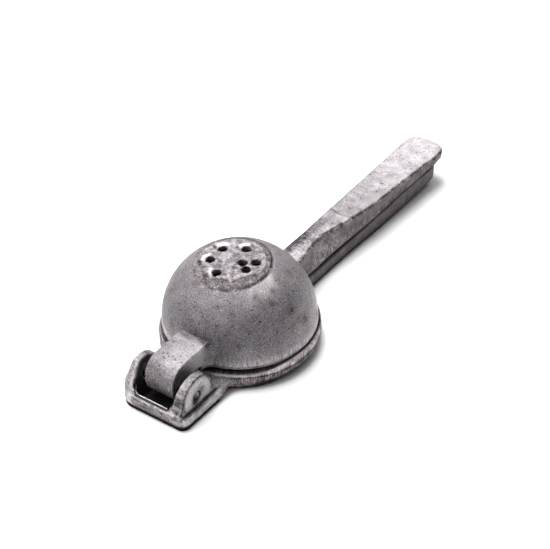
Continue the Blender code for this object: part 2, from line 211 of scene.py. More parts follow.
def lumps(points, size, octaves=3, shift=0.0):
    """Fractal noise at each point, about -1 to 1, with lumps of about the size given."""
    offset = Vector((shift, 1.7 * shift, 2.3 * shift))
    return np.array([noise.fractal(Vector(point) / size + offset, 0.9, 2.0, octaves) for point in points])


def spot(points, centre, radius):
    """1 at the centre, falling smoothly to 0 some way past the radius."""
    away = np.linalg.norm((points - np.array(centre)) / np.array(radius), axis=1)
    return np.exp(-away * away)


def room_to(points, nodes, tight, loose):
    """0 where one of the CAD nodes is nearer than tight, 1 where they all are further than loose."""
    nearest = np.full(len(points), np.inf)
    for node in nodes:
        mesh = frame["nodes"][node].data
        corners = [(vertex.co - BOWL_FOOT) / MM for vertex in mesh.vertices]
        tree = BVHTree.FromPolygons(corners, [face.vertices for face in mesh.polygons])
        found = np.array([tree.find_nearest(Vector(point))[3] for point in points])
        nearest = np.minimum(nearest, found)
    return between(nearest, tight, loose)


def on_bowl(bearing, height):
    """A point on the bowl's outside, at a bearing in degrees from the handle and a height."""
    angle = math.radians(bearing)
    rise = height - BOWL_CENTRE[2]
    reach = math.sqrt(BOWL_RADIUS ** 2 - rise ** 2)
    return np.array((reach * math.cos(angle), reach * math.sin(angle), height))


def on_strainer(distance, bearing, height=STRAINER_TOP_HEIGHT):
    """A point on the strainer, at a distance and bearing from its centre."""
    angle = math.radians(bearing)
    towards = math.radians(STRAINER_LEAN_TOWARDS)
    lean_axis = Vector((-math.sin(towards), math.cos(towards), 0.0))
    turn = Matrix.Rotation(math.radians(STRAINER_LEAN), 3, lean_axis)
    place = turn @ Vector((distance * math.cos(angle), distance * math.sin(angle), height))
    return np.array(place) + BOWL_CENTRE


def pit(skin, height, dirt_and_shade, centres, radius, depth):
    """Sink small round pits into the height, and darken them as dirty hollows in painted shade."""
    for centre in centres:
        hollow = spot(skin.points, centre, radius)
        height -= depth * hollow
        dirt_and_shade += 0.9 * hollow


def scattered(skin, count, seed, keep):
    """Points picked at random from the part of the skin where keep is true."""
    chosen = np.random.default_rng(seed).choice(np.flatnonzero(keep), count, replace=False)
    return skin.points[chosen]


# ---------------------------------------------------------------- the upper casting

HOLE_RADIUS = 1.9
# Each burred hole's distance from the strainer's centre and its bearing, the bearing and height of its
# burr, and the distance and bearing from the hole to the dark nick behind the burr.
BURRED_HOLES = (
    (8.8, 61, 42, 0.55, 3.8, 94),
    (8.7, -6, 52, 0.6, 3.8, 102),
    (9.0, 113, 80, 0.5, 4.6, 135),
    (8.8, 172, 118, 0.3, 4.6, 135),
)
# The strainer's flat and the groove round it, by their distance from the strainer's axis.
FLAT_RADIUS = 13.3
GROOVE_RADIUS = 16.2
# Bearings of the side of the flat that is cut away, of its fuller side, and of where the groove is faintest.
CUT_AWAY_BEARING = -155.0
FULL_BEARING = 65.0
FAINT_GROOVE_BEARING = 130.0
# Stains and worn places on the bowl: bearing, height, radius, and how much lighter or darker they are.
BOWL_MARKS = (
    (-84, 21.8, 2.2, -0.26), (-124, 36.3, 1.4, -0.16), (-111, 33.2, 1.2, -0.14), (-94, 28.1, 1.8, -0.17),
    (-63, 36.3, 1.6, -0.12), (133, 27.3, 1.2, -0.14), (157, 36.2, 1.9, -0.20), (150, 38.0, 1.5, -0.12),
    (155, 19.6, 1.8, -0.08), (-165, 33.4, 1.0, -0.12), (-93, 19.4, 1.8, 0.06), (-67, 32.9, 1.2, 0.08),
    (-89, 37.9, 1.5, -0.16), (-103, 36.2, 1.1, -0.10), (-62, 15.5, 2.2, -0.42), (155, 27.8, 1.0, -0.07),
)
# Pits: bearing and height on the bowl, and (x, y) on top of the tongue.
BOWL_PITS = ((-126, 28.8), (-165, 33.5), (-176, 29.0), (-150, 28.0), (-163, 27.3), (-90, 24.0), (-145, 20.5))
TONGUE_PITS = ((-45.4, -2.0), (-45.0, -0.5), (-45.6, 0.8), (-44.8, 2.3), (-45.3, 3.8), (-47.6, 1.6))
TONGUE_TOP_Z = 20.8
# The tongue's side, and the stain across its root: its place and how far it reaches to each side.
TONGUE_SIDE_Y = 7.0
ROOT_STAIN_X = -31.5
ROOT_STAIN_HALF_WIDTH = 7.5
# The root beside the tongue: its height there, and how far it falls for each millimetre outwards.
ROOT_TOP_Z = 19.4
ROOT_FALL = 1.25
# Where the upper handle begins and its neck ends, in X, and where the tongue and its nose begin, in -X.
# Each pair is where the change begins and where it is complete.
HANDLE_FROM = (27.0, 33.0)
NECK_UNTIL = (50.0, 74.0)
TONGUE_FROM = (31.0, 36.0)
NOSE_FROM = (49.0, 53.0)
# The curved mark across the upper handle where its flat top begins.
HANDLE_MARK_X = 72.6
# Below this height the bowl's lower edge is paler and streaked.
STREAKS_BELOW_Z = RIM_Z + 6.0
# Tones of the upper casting's parts, from 0 to 1 as in METAL_TONES.
BOWL_TONE = 0.285
STRAINER_TONE = 0.31
STRAINER_BAND_TONE = 0.29
TONGUE_TONE = 0.60
TONGUE_TOP_TONE = 0.41
HANDLE_TONE = 0.22
HANDLE_TOP_TONE = 0.50
HANDLE_SIDE_TONE = 0.27


def strainer_burrs(skin):
    """The height of the crescents of metal pushed up beside four of the drilled holes."""
    rise = np.zeros(skin.count)
    for distance, bearing, burr_bearing, burr_height, _, _ in BURRED_HOLES:
        away = skin.points - on_strainer(distance, bearing)
        reach = np.linalg.norm(away, axis=1)
        facing = np.cos(np.arctan2(away[:, 1], away[:, 0]) - math.radians(burr_bearing))
        crescent = near(reach, HOLE_RADIUS + 1.1, 0.95) * between(facing, 0.35, 0.85)
        rise = np.maximum(rise, burr_height * crescent)
    return rise * (skin.normals[:, 2] > 0.3)


def strainer_nicks(skin):
    """1 in the dark nicks behind the burrs, 0 elsewhere."""
    nick = np.zeros(skin.count)
    for distance, bearing, _, _, reach, nick_bearing in BURRED_HOLES:
        to_hole, to_nick = math.radians(bearing), math.radians(nick_bearing)
        along = distance * math.cos(to_hole) + reach * math.cos(to_nick)
        across = distance * math.sin(to_hole) + reach * math.sin(to_nick)
        centre = on_strainer(math.hypot(along, across), math.degrees(math.atan2(across, along)),
                             STRAINER_TOP_HEIGHT - 0.7)
        nick = np.maximum(nick, spot(skin.points, centre, (0.7, 0.9, 2.0)))
    return nick


def slope_tongue_root(skin):
    """Let the root beside the tongue fall away from the tongue and run smoothly into the bowl."""
    x, y, z = skin.points.T
    side = np.abs(y)
    beside = between(side, TONGUE_SIDE_Y + 0.1, TONGUE_SIDE_Y + 0.8)
    root = beside * between(-x, 24.0, 27.0) * (z > RIM_Z + 2.0)
    roof = ROOT_TOP_Z - ROOT_FALL * (side - TONGUE_SIDE_Y)
    proud = np.linalg.norm(skin.points - BOWL_CENTRE, axis=1) > BOWL_RADIUS + 0.2
    lowered = np.minimum(z, roof)
    skin.points[:, 2] = np.where(proud & (z > 13.0), z + (lowered - z) * root, z)
    skin.soften(45, root * proud * between(z, 12.0, 14.0))


def round_off_bowl(skin):
    """Put the bowl's outside back on its true sphere."""
    from_centre = skin.points - BOWL_CENTRE
    distance = np.linalg.norm(from_centre, axis=1)
    z = skin.points[:, 2]
    bowl = (1 - between(np.abs(distance - BOWL_RADIUS), 0.16, 0.3)) * between(z, RIM_Z, RIM_Z + 0.6)
    sphere = BOWL_CENTRE + from_centre * (BOWL_RADIUS / distance)[:, None]
    skin.points = skin.points + (sphere - skin.points) * bowl[:, None]
    skin.refresh()


def strainer_top_places(skin, at):
    """Add the masks of the strainer's top: its flat, the rough band round it, its groove and marks."""
    from_centre = skin.points - BOWL_CENTRE
    distance = np.linalg.norm(from_centre, axis=1)
    at.outside = (distance > BOWL_RADIUS - 1.0) & (at.z > RIM_Z + 1.5)
    axis = (on_strainer(0, 0) - BOWL_CENTRE) / STRAINER_TOP_HEIGHT
    climb = from_centre @ axis
    off_axis = np.sqrt(np.maximum(distance ** 2 - climb ** 2, 0.0))
    on_top = between(climb, 26.0, 27.0)
    lateral = from_centre - climb[:, None] * axis
    round_axis = np.arctan2(lateral[:, 1], lateral[:, 0])

    def towards(bearing, low, high):
        """1 on the side of the strainer that faces the bearing."""
        return between(np.cos(round_axis - math.radians(bearing)), low, high)

    at.cut_away = towards(CUT_AWAY_BEARING, 0.0, 0.9)
    at.full = towards(FULL_BEARING, 0.1, 0.8)
    flat_radius = FLAT_RADIUS - 2.3 * at.cut_away + 1.9 * at.full + 0.7 * at.ragged
    at.plateau = (1 - between(off_axis - flat_radius, -0.35, 0.35)) * on_top
    at.band = (1 - between(off_axis, 15.6, 16.4)) * on_top * (1 - at.plateau)
    at.ring = near(off_axis, GROOVE_RADIUS, 0.5) * on_top
    at.ring *= 1 - 0.8 * towards(FAINT_GROOVE_BEARING, 0.2, 0.8)
    # Painted highlight: a band just outside the groove, on the strainer's right side, is painted lighter.
    fading = 1 - between(off_axis + 1.5 * at.ragged, 18.5, 23.5)
    at.glow = between(off_axis, 16.4, 17.2) * fading * (climb > 15.0)
    at.glow *= window(at.bearing, -150.0, -108.0, -100.0, -76.0)
    at.nick = strainer_nicks(skin)
    at.burrs = strainer_burrs(skin)


def strainer_places(skin):
    """Masks, from 0 to 1, of the upper casting's parts, and the noise that they share."""
    at = SimpleNamespace()
    at.x, at.y, at.z = skin.points.T
    at.bearing = np.degrees(np.arctan2(at.y, at.x))
    at.room = room_to(skin.points, ("presser_lever", "hinge_pin"), 0.6, 2.2)
    at.ragged = lumps(skin.points, 3.0, 3, 12.0)
    at.knobbly = lumps(skin.points, 2.4, 3, 9.0)
    at.speck = lumps(skin.points, 0.9, 2, 21.0)
    at.handle = between(at.x, *HANDLE_FROM)
    at.neck = 1 - between(at.x, *NECK_UNTIL)
    at.tongue = between(-at.x, *TONGUE_FROM)
    at.nose = between(-at.x, *NOSE_FROM)
    leftward, upward = skin.normals[:, 1], skin.normals[:, 2]
    at.upward = between(upward, 0.35, 0.8)
    at.rightward = between(-leftward, 0.3, 0.8)
    at.handle_mark = near(at.x - 0.03 * at.y ** 2, HANDLE_MARK_X, 0.7) * at.upward
    bevel = window(upward, 0.1, 0.4, 0.8, 0.96) * at.handle
    at.right_bevel = bevel * between(-leftward, 0.1, 0.3)
    at.left_bevel = bevel * between(leftward, 0.1, 0.3)
    strainer_top_places(skin, at)
    return at


def roughen_strainer(skin, at):
    """Give the upper casting its lumps, burrs, grooves and pits, and return how dark its pits are, for dirty
    hollows in painted shade.
    """
    height = 0.04 * lumps(skin.points, 9.0, 2) + 0.025 * lumps(skin.points, 1.4, 2, 3.0)
    height += at.handle * (0.07 * lumps(skin.points, 9.0, 2, 5.0) + 0.2 * at.right_bevel * at.ragged)
    height -= 0.12 * at.handle_mark
    height += at.tongue * 0.05 * lumps(skin.points, 2.4, 3, 7.0)
    height += at.nose * 0.12 * lumps(skin.points, 1.2, 3, 2.0)
    height += (at.plateau + at.band) * (0.2 * at.knobbly + 0.06 * at.speck)
    height -= (0.1 + 0.2 * at.cut_away) * at.band
    height += at.burrs - 0.4 * at.nick - 0.25 * at.ring * (1 + at.ragged)
    dirt_and_shade = np.zeros(skin.count)
    tongue_pits = [(along, across, TONGUE_TOP_Z) for along, across in TONGUE_PITS]
    on_dome = at.outside & (at.x < 29) & (at.x > -32)
    on_handle = at.outside & (at.x > 33)
    on_tongue = at.outside & (at.x < -34)
    bowl_pits = [on_bowl(*place) for place in BOWL_PITS]
    pit(skin, height, dirt_and_shade, bowl_pits, radius=0.35, depth=0.3)
    pit(skin, height, dirt_and_shade, tongue_pits, radius=0.38, depth=0.3)
    pit(skin, height, dirt_and_shade, scattered(skin, 14, seed=4, keep=on_dome), radius=0.3, depth=0.15)
    pit(skin, height, dirt_and_shade, scattered(skin, 20, seed=8, keep=on_handle), radius=0.45, depth=0.2)
    pit(skin, height, dirt_and_shade, scattered(skin, 26, seed=11, keep=on_tongue), radius=0.32, depth=0.2)
    skin.raise_by(np.where(at.room < 1.0, at.room * height, height))
    return dirt_and_shade


def bowl_tone(skin, at):
    """The bowl's tone, with its painted light, and the mask of its brownish stains."""
    # Painted fill light: the bowl's right side is painted lighter.
    tone = BOWL_TONE + 0.08 * window(at.bearing, -125.0, -70.0, -50.0, 0.0)
    stains = np.zeros(skin.count)
    for mark_bearing, mark_z, radius, change in BOWL_MARKS:
        mark = spot(skin.points, on_bowl(mark_bearing, mark_z), radius)
        mark *= 0.5 + 0.5 * between(at.speck, -0.25, 0.1)
        tone += change * mark
        stains += mark
    # More painted fill light on the lower right of the bowl.
    painted_right_fill = window(at.bearing, -75.0, -50.0, -10.0, 10.0) * (1 - between(at.z, 16.0, 26.0))
    tone += 0.16 * between(STREAKS_BELOW_Z - at.z, 0.0, 4.0) * at.outside
    tone += at.glow * (0.29 + 0.14 * at.ragged)
    tone += 0.05 * (1 - between(at.z, 12.0, 24.0)) * at.outside
    # The top of the bowl is painted a little lighter, as painted light from above.
    tone += 0.04 * between(at.z, 28.0, 38.0) + 0.05 * lumps(skin.points, 5.0, 3, 15.0) + 0.26 * painted_right_fill
    return tone, stains


def tone_strainer_top(tone, at):
    """Blend in the tones of the strainer's flat and of the rough band round it."""
    flat = STRAINER_TONE + 0.06 * at.full + 0.2 * at.knobbly + 0.1 * at.speck
    tone = blend(tone, at.plateau, flat)
    rough = STRAINER_BAND_TONE - 0.1 * at.cut_away + 0.14 * at.knobbly + 0.16 * at.speck
    return blend(tone, at.band, rough)


def tone_tongue(tone, at):
    """Blend in the tones of the tongue, which is darker on top and where it leaves the bowl."""
    # The sides are painted lighter than the top, as painted light on the sides.
    tone = blend(tone, at.tongue, TONGUE_TONE - 0.26 * at.nose)
    # The top is painted lighter towards its right side, as a painted highlight.
    on_top = TONGUE_TOP_TONE - 0.10 * at.nose + 0.08 * at.ragged - 0.012 * at.y
    tone = blend(tone, at.tongue * at.upward, on_top)
    root = near(at.x, ROOT_STAIN_X, 1.8) * (np.abs(at.y) < ROOT_STAIN_HALF_WIDTH)
    return tone - 0.16 * root * between(at.ragged, -0.1, 0.6)


def tone_upper_handle(skin, tone, at):
    """Blend in the tones of the upper handle, which is worn brighter towards its end."""
    tone = blend(tone, at.handle, HANDLE_TONE - 0.05 * between(at.x, 30.0, 140.0))
    worn = HANDLE_TOP_TONE - 0.07 * between(at.x, 60.0, 80.0) + 0.19 * between(at.x, 80.0, 140.0)
    shaded = 0.34 * at.neck * between(at.y + at.ragged, -1.5, 3.5)
    tone = blend(tone, at.handle * at.upward, worn - shaded)
    side = HANDLE_SIDE_TONE - 0.09 * between(at.x, 45.0, 110.0)
    tone = blend(tone, at.handle * at.rightward, side)
    tone += 0.10 * at.handle * lumps(skin.points, 6.0, 3, 17.0) - 0.4 * at.left_bevel
    tone += at.handle * at.neck * at.upward * (0.25 * at.speck + 0.14 * at.ragged - 0.06)
    # The right bevel is painted lighter, as a painted highlight along the edge.
    return tone + at.right_bevel * (0.10 + 0.25 * at.ragged + 0.3 * at.speck)


def strainer_casting():
    """The upper lever: bowl, strainer, tongue and upper handle."""
    thing = fine_copy("strainer_casting", "strainer_lever")
    skin = Skin(thing)
    skin.soften(3)
    slope_tongue_root(skin)
    round_off_bowl(skin)
    at = strainer_places(skin)
    dirt_and_shade = roughen_strainer(skin, at)

    tone, stains = bowl_tone(skin, at)
    tone = tone_strainer_top(tone, at)
    tone = tone_tongue(tone, at)
    tone = tone_upper_handle(skin, tone, at)
    # Painted highlight on the outer edges away from the handle, and painted shade in the inner corners.
    tone += 0.12 * skin.edges() * (1 - at.handle) - 0.16 * skin.nooks()
    # The groove round the strainer is painted darker, as painted shade in it.
    tone += at.burrs - 0.26 * at.ring * (1 + at.ragged)
    # Painted shade where the lower casting and the pin come close to this one.
    tone -= 0.16 * (1 - at.room) * (1 - at.handle) + 0.7 * at.nick + 0.14 * at.handle_mark
    skin.keep("tone", tone)
    skin.keep("shine", 0.5 * at.plateau + 1.2 * at.burrs + 0.6 * at.handle * at.upward)
    skin.keep("dirt_and_shade", dirt_and_shade)
    skin.keep("upright", between(STREAKS_BELOW_Z - at.z, 0.0, 4.0) * at.outside)
    skin.keep("calm", at.outside * (1 - at.plateau) * (1 - at.band) * (1 - at.handle))
    skin.keep("rough", 1 - 0.8 * at.handle * (1 - 0.7 * at.neck))
    skin.keep("warm", 0.6 * stains + 0.25 * at.band + 0.35 * at.handle * at.rightward)
    return thing


# ---------------------------------------------------------------- the lower casting

SLOT_FRONT_X = -58.0
SLOT_REAR_X = -37.0
BAR_TOP_Z = 6.6
PLATE_RADIUS = 33.3
EAR_FOOT_Z = 3.0
# The ears' inner faces: Y at the foot, and how far each leans outwards for each millimetre up.
LEFT_INNER = (8.5, 0.25)
RIGHT_INNER = (-8.8, -0.155)
LEFT_OUTER_Y = 14.6
RIGHT_OUTER_Y = -15.2
FLANGE_TOP_Z = 5.6
# Where the yoke begins, in -X, and the lower handle, in X: the change's beginning, and where it is complete.
YOKE_FROM = (33.0, 38.0)
LOWER_HANDLE_FROM = (30.0, 36.0)
# The rubbed right corner of the yoke, and the stained place on the plate's lip.
YOKE_CORNER = (-60.0, -16.0, 3.5)
LIP_STAIN = (17.0, -28.5, 8.5)
# Grime round the pin's bore, and the painted shade of the bore's dark crescent beside it, both on the right
# ear's face.
BORE_GRIME = (PIN_X + 0.9, RIGHT_OUTER_Y, PIN_Z + 1.6)
BORE_SHADE_CRESCENT = (PIN_X - 1.5, RIGHT_OUTER_Y, PIN_Z - 0.8)
# From this Y outwards, the open tongue no longer passes close over the front bar.
TONGUE_CLEAR_Y = 7.3
# Pits in the yoke's front bar and in the ramp of the right ear.
YOKE_PITS = ((-60.0, -13.2, 5.8), (-59.8, -12.2, 5.0), (-58.6, -12.4, 7.0), (-58.4, -14.6, 6.8),
             (-56.8, -13.0, 11.2), (-60.4, -6.0, 4.6), (-60.4, 2.0, 5.2))
# Bearings between which the plate's lip rises towards the bowl: where it begins and ends on each side.
GAP_SIDE = (-135.0, -108.0, 20.0, 40.0)
# How much the lip rises, how much more it does further right, and how far the plate's foot comes down.
LIP_RISE = 1.2
LIP_RISE_RIGHT = 0.9
PLATE_FOOT_DROP = 2.5
# Tones of the lower casting's parts, from 0 to 1 as in METAL_TONES.
PRESSER_TONE = 0.24
PLATE_WALL_TONE = 0.30
YOKE_TONE = 0.29
BAR_FRONT_TONE = 0.32
FLANGE_WALL_TONE = 0.47
LEFT_EAR_FRONT_TONE = 0.36
EAR_FACE_TONE = 0.60
LOWER_HANDLE_TONE = 0.17
# Painted shade of the ledge in the gap under the bowl's rim.
LEDGE_SHADE_TONE = 0.08
# Painted shade of the slot.
SLOT_SHADE_TONE = 0.02


def in_slot(points):
    """1 inside the yoke's slot and on its walls, 0 elsewhere."""
    x, y, z = points.T
    left = LEFT_INNER[0] + LEFT_INNER[1] * (z - EAR_FOOT_Z)
    right = RIGHT_INNER[0] + RIGHT_INNER[1] * (z - EAR_FOOT_Z)
    across = (1 - between(y - left, 0.1, 0.5)) * (1 - between(right - y, 0.1, 0.5))
    return across * window(x, SLOT_FRONT_X - 0.5, SLOT_FRONT_X - 0.1, SLOT_REAR_X, SLOT_REAR_X + 0.5)


def undercut(skin, depth, reach):
    """Draw the walls in where they meet the table, as a rubbed and worn lower edge."""
    z = skin.points[:, 2]
    pull = depth * between(reach - z, 0.0, reach) * (np.abs(skin.normals[:, 2]) < 0.8)
    flat = skin.normals * (1.0, 1.0, 0.0)
    skin.points = skin.points - flat * pull[:, None]
    skin.refresh()


def close_gap(skin):
    """Raise the plate's lip towards the bowl on the right, and draw its lower edge down to the table."""
    x, y, z = skin.points.T
    reach = np.hypot(x, y)
    bearing = np.degrees(np.arctan2(y, x))
    plate = between(reach, 28.0, 30.0) * (1 - between(x, 26.0, 30.0)) * (1 - between(-x, 31.0, 34.0))
    raised = window(bearing, *GAP_SIDE) * plate * between(reach, 32.1, 32.6) * between(z, 6.0, 7.4)
    rise = LIP_RISE + LIP_RISE_RIGHT * between(bearing, -118.0, -98.0)
    sunk = plate * between(PLATE_RADIUS + 0.1 - reach, 0.0, 0.3) * (1 - between(z, 3.0, 3.6))
    lowered = np.maximum(z - PLATE_FOOT_DROP * sunk, np.minimum(z, 0.4))
    skin.points[:, 2] = lowered + rise * raised
    skin.refresh()


def yoke_places(skin, at):
    """Add the masks of the yoke's ears, flange and front bar."""
    outward = between(np.abs(skin.normals[:, 1]), 0.85, 0.97)
    above_flange = between(at.z, FLANGE_TOP_Z + 0.6, FLANGE_TOP_Z + 1.4)
    at.slot = in_slot(skin.points)
    at.ear_face = at.yoke * outward * above_flange * (1 - at.slot)
    beside_ear = np.maximum(near(at.y, LEFT_OUTER_Y + 0.3, 0.5), near(at.y, RIGHT_OUTER_Y - 0.3, 0.5))
    at.flange_line = at.yoke * (1 - at.slot) * beside_ear * near(at.z, FLANGE_TOP_Z, 0.7)
    at.bar_groove = near(at.x, SLOT_FRONT_X - 0.95, 0.6) * (np.abs(at.y) < 8.0)
    at.bar_groove *= window(at.z, BAR_TOP_Z - 1.4, BAR_TOP_Z - 0.9, BAR_TOP_Z + 0.5, BAR_TOP_Z + 1.0)
    at.arch = at.yoke * near(at.y, RIGHT_OUTER_Y + 0.2, 0.38)
    at.arch *= between(at.z, FLANGE_TOP_Z + 0.6, FLANGE_TOP_Z + 2.0)
    at.arch *= between(np.hypot(at.x - PIN_X, at.z - PIN_Z), 7.6, 8.4)
    at.bore_grime = spot(skin.points, BORE_GRIME, (3.2, 1.2, 3.2))
    at.bore_crescent = spot(skin.points, BORE_SHADE_CRESCENT, (1.7, 1.2, 2.3))


def plate_places(skin, at):
    """Add the masks of the plate's wall, lip and upper face."""
    reach = np.hypot(at.x, at.y)
    at.plate = window(reach, 29.0, 31.0, 33.8, 34.6) * (1 - at.handle)
    at.upright_wall = 1 - between(np.abs(skin.normals[:, 2]), 0.4, 0.8)
    at.lip = near(reach, PLATE_RADIUS - 0.3, 0.45) * between(at.z, 6.0, 6.8) * at.plate
    at.lip_line = at.plate * at.upright_wall * near(at.z, 6.1, 0.35)
    inner = 1 - between(reach, 32.0, 32.7)
    at.ledge = at.plate * between(skin.normals[:, 2], 0.5, 0.9) * inner * (1 - at.yoke)


def presser_places(skin):
    """Masks, from 0 to 1, of the lower casting's parts, and the noise that they share."""
    at = SimpleNamespace()
    at.x, at.y, at.z = skin.points.T
    at.bearing = np.degrees(np.arctan2(at.y, at.x))
    at.room = room_to(skin.points, ("strainer_lever", "hinge_pin"), 0.6, 2.2)
    at.ragged = lumps(skin.points, 2.0, 3, 14.0)
    at.knocks = lumps(skin.points, 1.9, 3, 6.0)
    at.yoke = between(-at.x, *YOKE_FROM)
    at.handle = between(at.x, *LOWER_HANDLE_FROM)
    yoke_places(skin, at)
    plate_places(skin, at)
    return at


def roughen_presser(skin, at):
    """Give the lower casting its lumps, grooves and pits, and return how dark its pits are, for dirty
    hollows in painted shade.
    """
    height = 0.05 * lumps(skin.points, 8.0, 2, 1.0) + 0.03 * lumps(skin.points, 1.5, 2, 4.0)
    height += at.yoke * (1 - 0.7 * at.ear_face) * 0.12 * at.knocks
    height += at.handle * 0.1 * lumps(skin.points, 7.0, 3, 2.0)
    height -= 0.35 * at.bar_groove + 0.15 * at.lip_line
    height += 0.12 * at.plate * at.ragged + 0.2 * at.flange_line * at.ragged
    dirt_and_shade = np.zeros(skin.count)
    on_yoke_or_low = (at.x < -34) | (at.z < 7)
    pit(skin, height, dirt_and_shade, YOKE_PITS, radius=0.6, depth=0.4)
    pit(skin, height, dirt_and_shade, scattered(skin, 22, seed=5, keep=on_yoke_or_low), radius=0.4, depth=0.22)
    off_table = between(at.z, 0.2, 1.0)
    skin.raise_by(np.where(at.room < 1.0, at.room * height, height) * off_table)
    return dirt_and_shade


def tone_yoke(skin, tone, at):
    """Blend in the tones of the yoke: its front bar, flange and ears."""
    leftward = skin.normals[:, 1]
    front = between(-skin.normals[:, 0], 0.3, 0.7) * at.yoke
    streaks = lumps(skin.points * (1.0, 0.3, 1.4), 1.7, 3, 8.5)
    tone = blend(tone, at.yoke, YOKE_TONE + 0.12 * at.knocks)
    tone = blend(tone, front, BAR_FRONT_TONE + 0.06 * at.knocks + 0.26 * streaks)
    # Painted light: the yoke's right-facing lower walls, which stand in shade, are painted light.
    flange = at.yoke * between(-leftward, 0.3, 0.8) * (1 - between(at.z, FLANGE_TOP_Z, FLANGE_TOP_Z + 1.0))
    tone = blend(tone, flange * (1 - at.slot), FLANGE_WALL_TONE + 0.16 * at.knocks)
    # The left ear's front is painted lighter towards its inner edge, as a painted highlight.
    ear_front = LEFT_EAR_FRONT_TONE + 0.30 * between(LEFT_OUTER_Y - at.y, 1.0, 5.5) + 0.08 * at.knocks
    tone = blend(tone, front * between(at.y, 8.0, 10.0), ear_front)
    # The ears' outer faces are painted light, as painted light on faces turned from the lamps.
    grime_and_shade = at.bore_grime * (0.4 + 0.7 * at.ragged) + at.bore_crescent
    return blend(tone, at.ear_face, EAR_FACE_TONE + 0.08 * at.ragged - grime_and_shade)


def tone_ledge(tone, at):
    """Blend in the tone of the plate's upper face beside the bowl: painted shade in the gap under the bowl's
    rim, and painted lighter where the lip is raised so that the gap looks closed.
    """
    raised = window(at.bearing, *GAP_SIDE)
    return blend(tone, at.ledge, LEDGE_SHADE_TONE + 0.4 * raised + 0.04 * at.ragged)


def presser_casting():
    """The lower lever: plate, pressing dome, yoke and lower handle."""
    thing = fine_copy("presser_casting", "presser_lever")
    skin = Skin(thing)
    skin.soften(3)
    undercut(skin, depth=1.1, reach=1.9)
    close_gap(skin)
    at = presser_places(skin)
    dirt_and_shade = roughen_presser(skin, at)

    edge = skin.edges()
    tone = np.full(skin.count, PRESSER_TONE)
    tone = blend(tone, at.plate * at.upright_wall, PLATE_WALL_TONE + 0.10 * at.ragged)
    tone = tone_yoke(skin, tone, at)
    # The lower handle is painted darker towards the table, as painted shade.
    tone = blend(tone, at.handle, LOWER_HANDLE_TONE - 0.13 * between(5.5 - at.z, 0.0, 5.5))
    # Painted highlight on the outer edges and along the lip's top, and painted shade in the inner corners.
    tone += edge * (0.3 + 0.2 * at.ragged) - 0.24 * skin.nooks() + 0.35 * at.lip
    # Painted shade where the upper casting and the pin come close, and in the corner along the foot of each
    # ear.
    tone -= 0.14 * (1 - at.room) * (1 - at.handle) + at.flange_line * (0.5 + 0.5 * at.ragged)
    # The groove behind the bar, the line below the lip and the arch round the ear's face are painted darker,
    # as painted shade in them.
    tone -= at.bar_groove + 0.2 * at.lip_line + 0.4 * at.arch
    tone += 0.14 * spot(skin.points, YOKE_CORNER, 4.0)
    tone = tone_ledge(tone, at)
    tone -= 0.45 * spot(skin.points, LIP_STAIN, 3.0)
    # Painted shade on the plate's right side.
    tone -= 0.15 * at.plate * window(at.bearing, -112.0, -92.0, 0.0, 40.0)
    # Painted shade: the slot is painted near black, with a painted highlight along the left ear's upper
    # inner edge.
    lit_edge = skin.edges(14) * between(at.z, 6.0, 8.0)
    tone = blend(tone, at.slot, SLOT_SHADE_TONE + (0.06 + 3.0 * lit_edge) * (at.y > 0))
    # Painted shadow: the walls' lowest few millimetres, and the plate's lowered foot, are painted black as
    # the shade near the table.
    shadow_below = 2.6 + at.plate * (0.9 - 1.8 * between(-at.x, 19.0, 26.0))
    shadowed_low_wall = between(shadow_below - at.z, 0.0, 0.9)
    tone = blend(tone, shadowed_low_wall, 0.0)
    skin.keep("tone", tone)
    skin.keep("shine", (0.9 * at.yoke + 0.6 * edge + 0.8 * at.lip) * (1 - at.slot) * (1 - shadowed_low_wall))
    # This mask of dark places holds the pits' darkening and also the painted shade of the slot and of the
    # low walls.
    skin.keep("dirt_and_shade", np.maximum(dirt_and_shade, 0.7 * np.maximum(at.slot, shadowed_low_wall)))
    skin.keep("upright", at.upright_wall * (1 - at.yoke) * (1 - at.handle))
    skin.keep("calm", np.maximum(at.ear_face, 0.75 * at.yoke))
    skin.keep("rough", 1 - 0.7 * at.handle)
    skin.keep("warm", 0.45 * at.plate * at.upright_wall + 0.4 * at.handle + 0.4 * dirt_and_shade)
    return thing


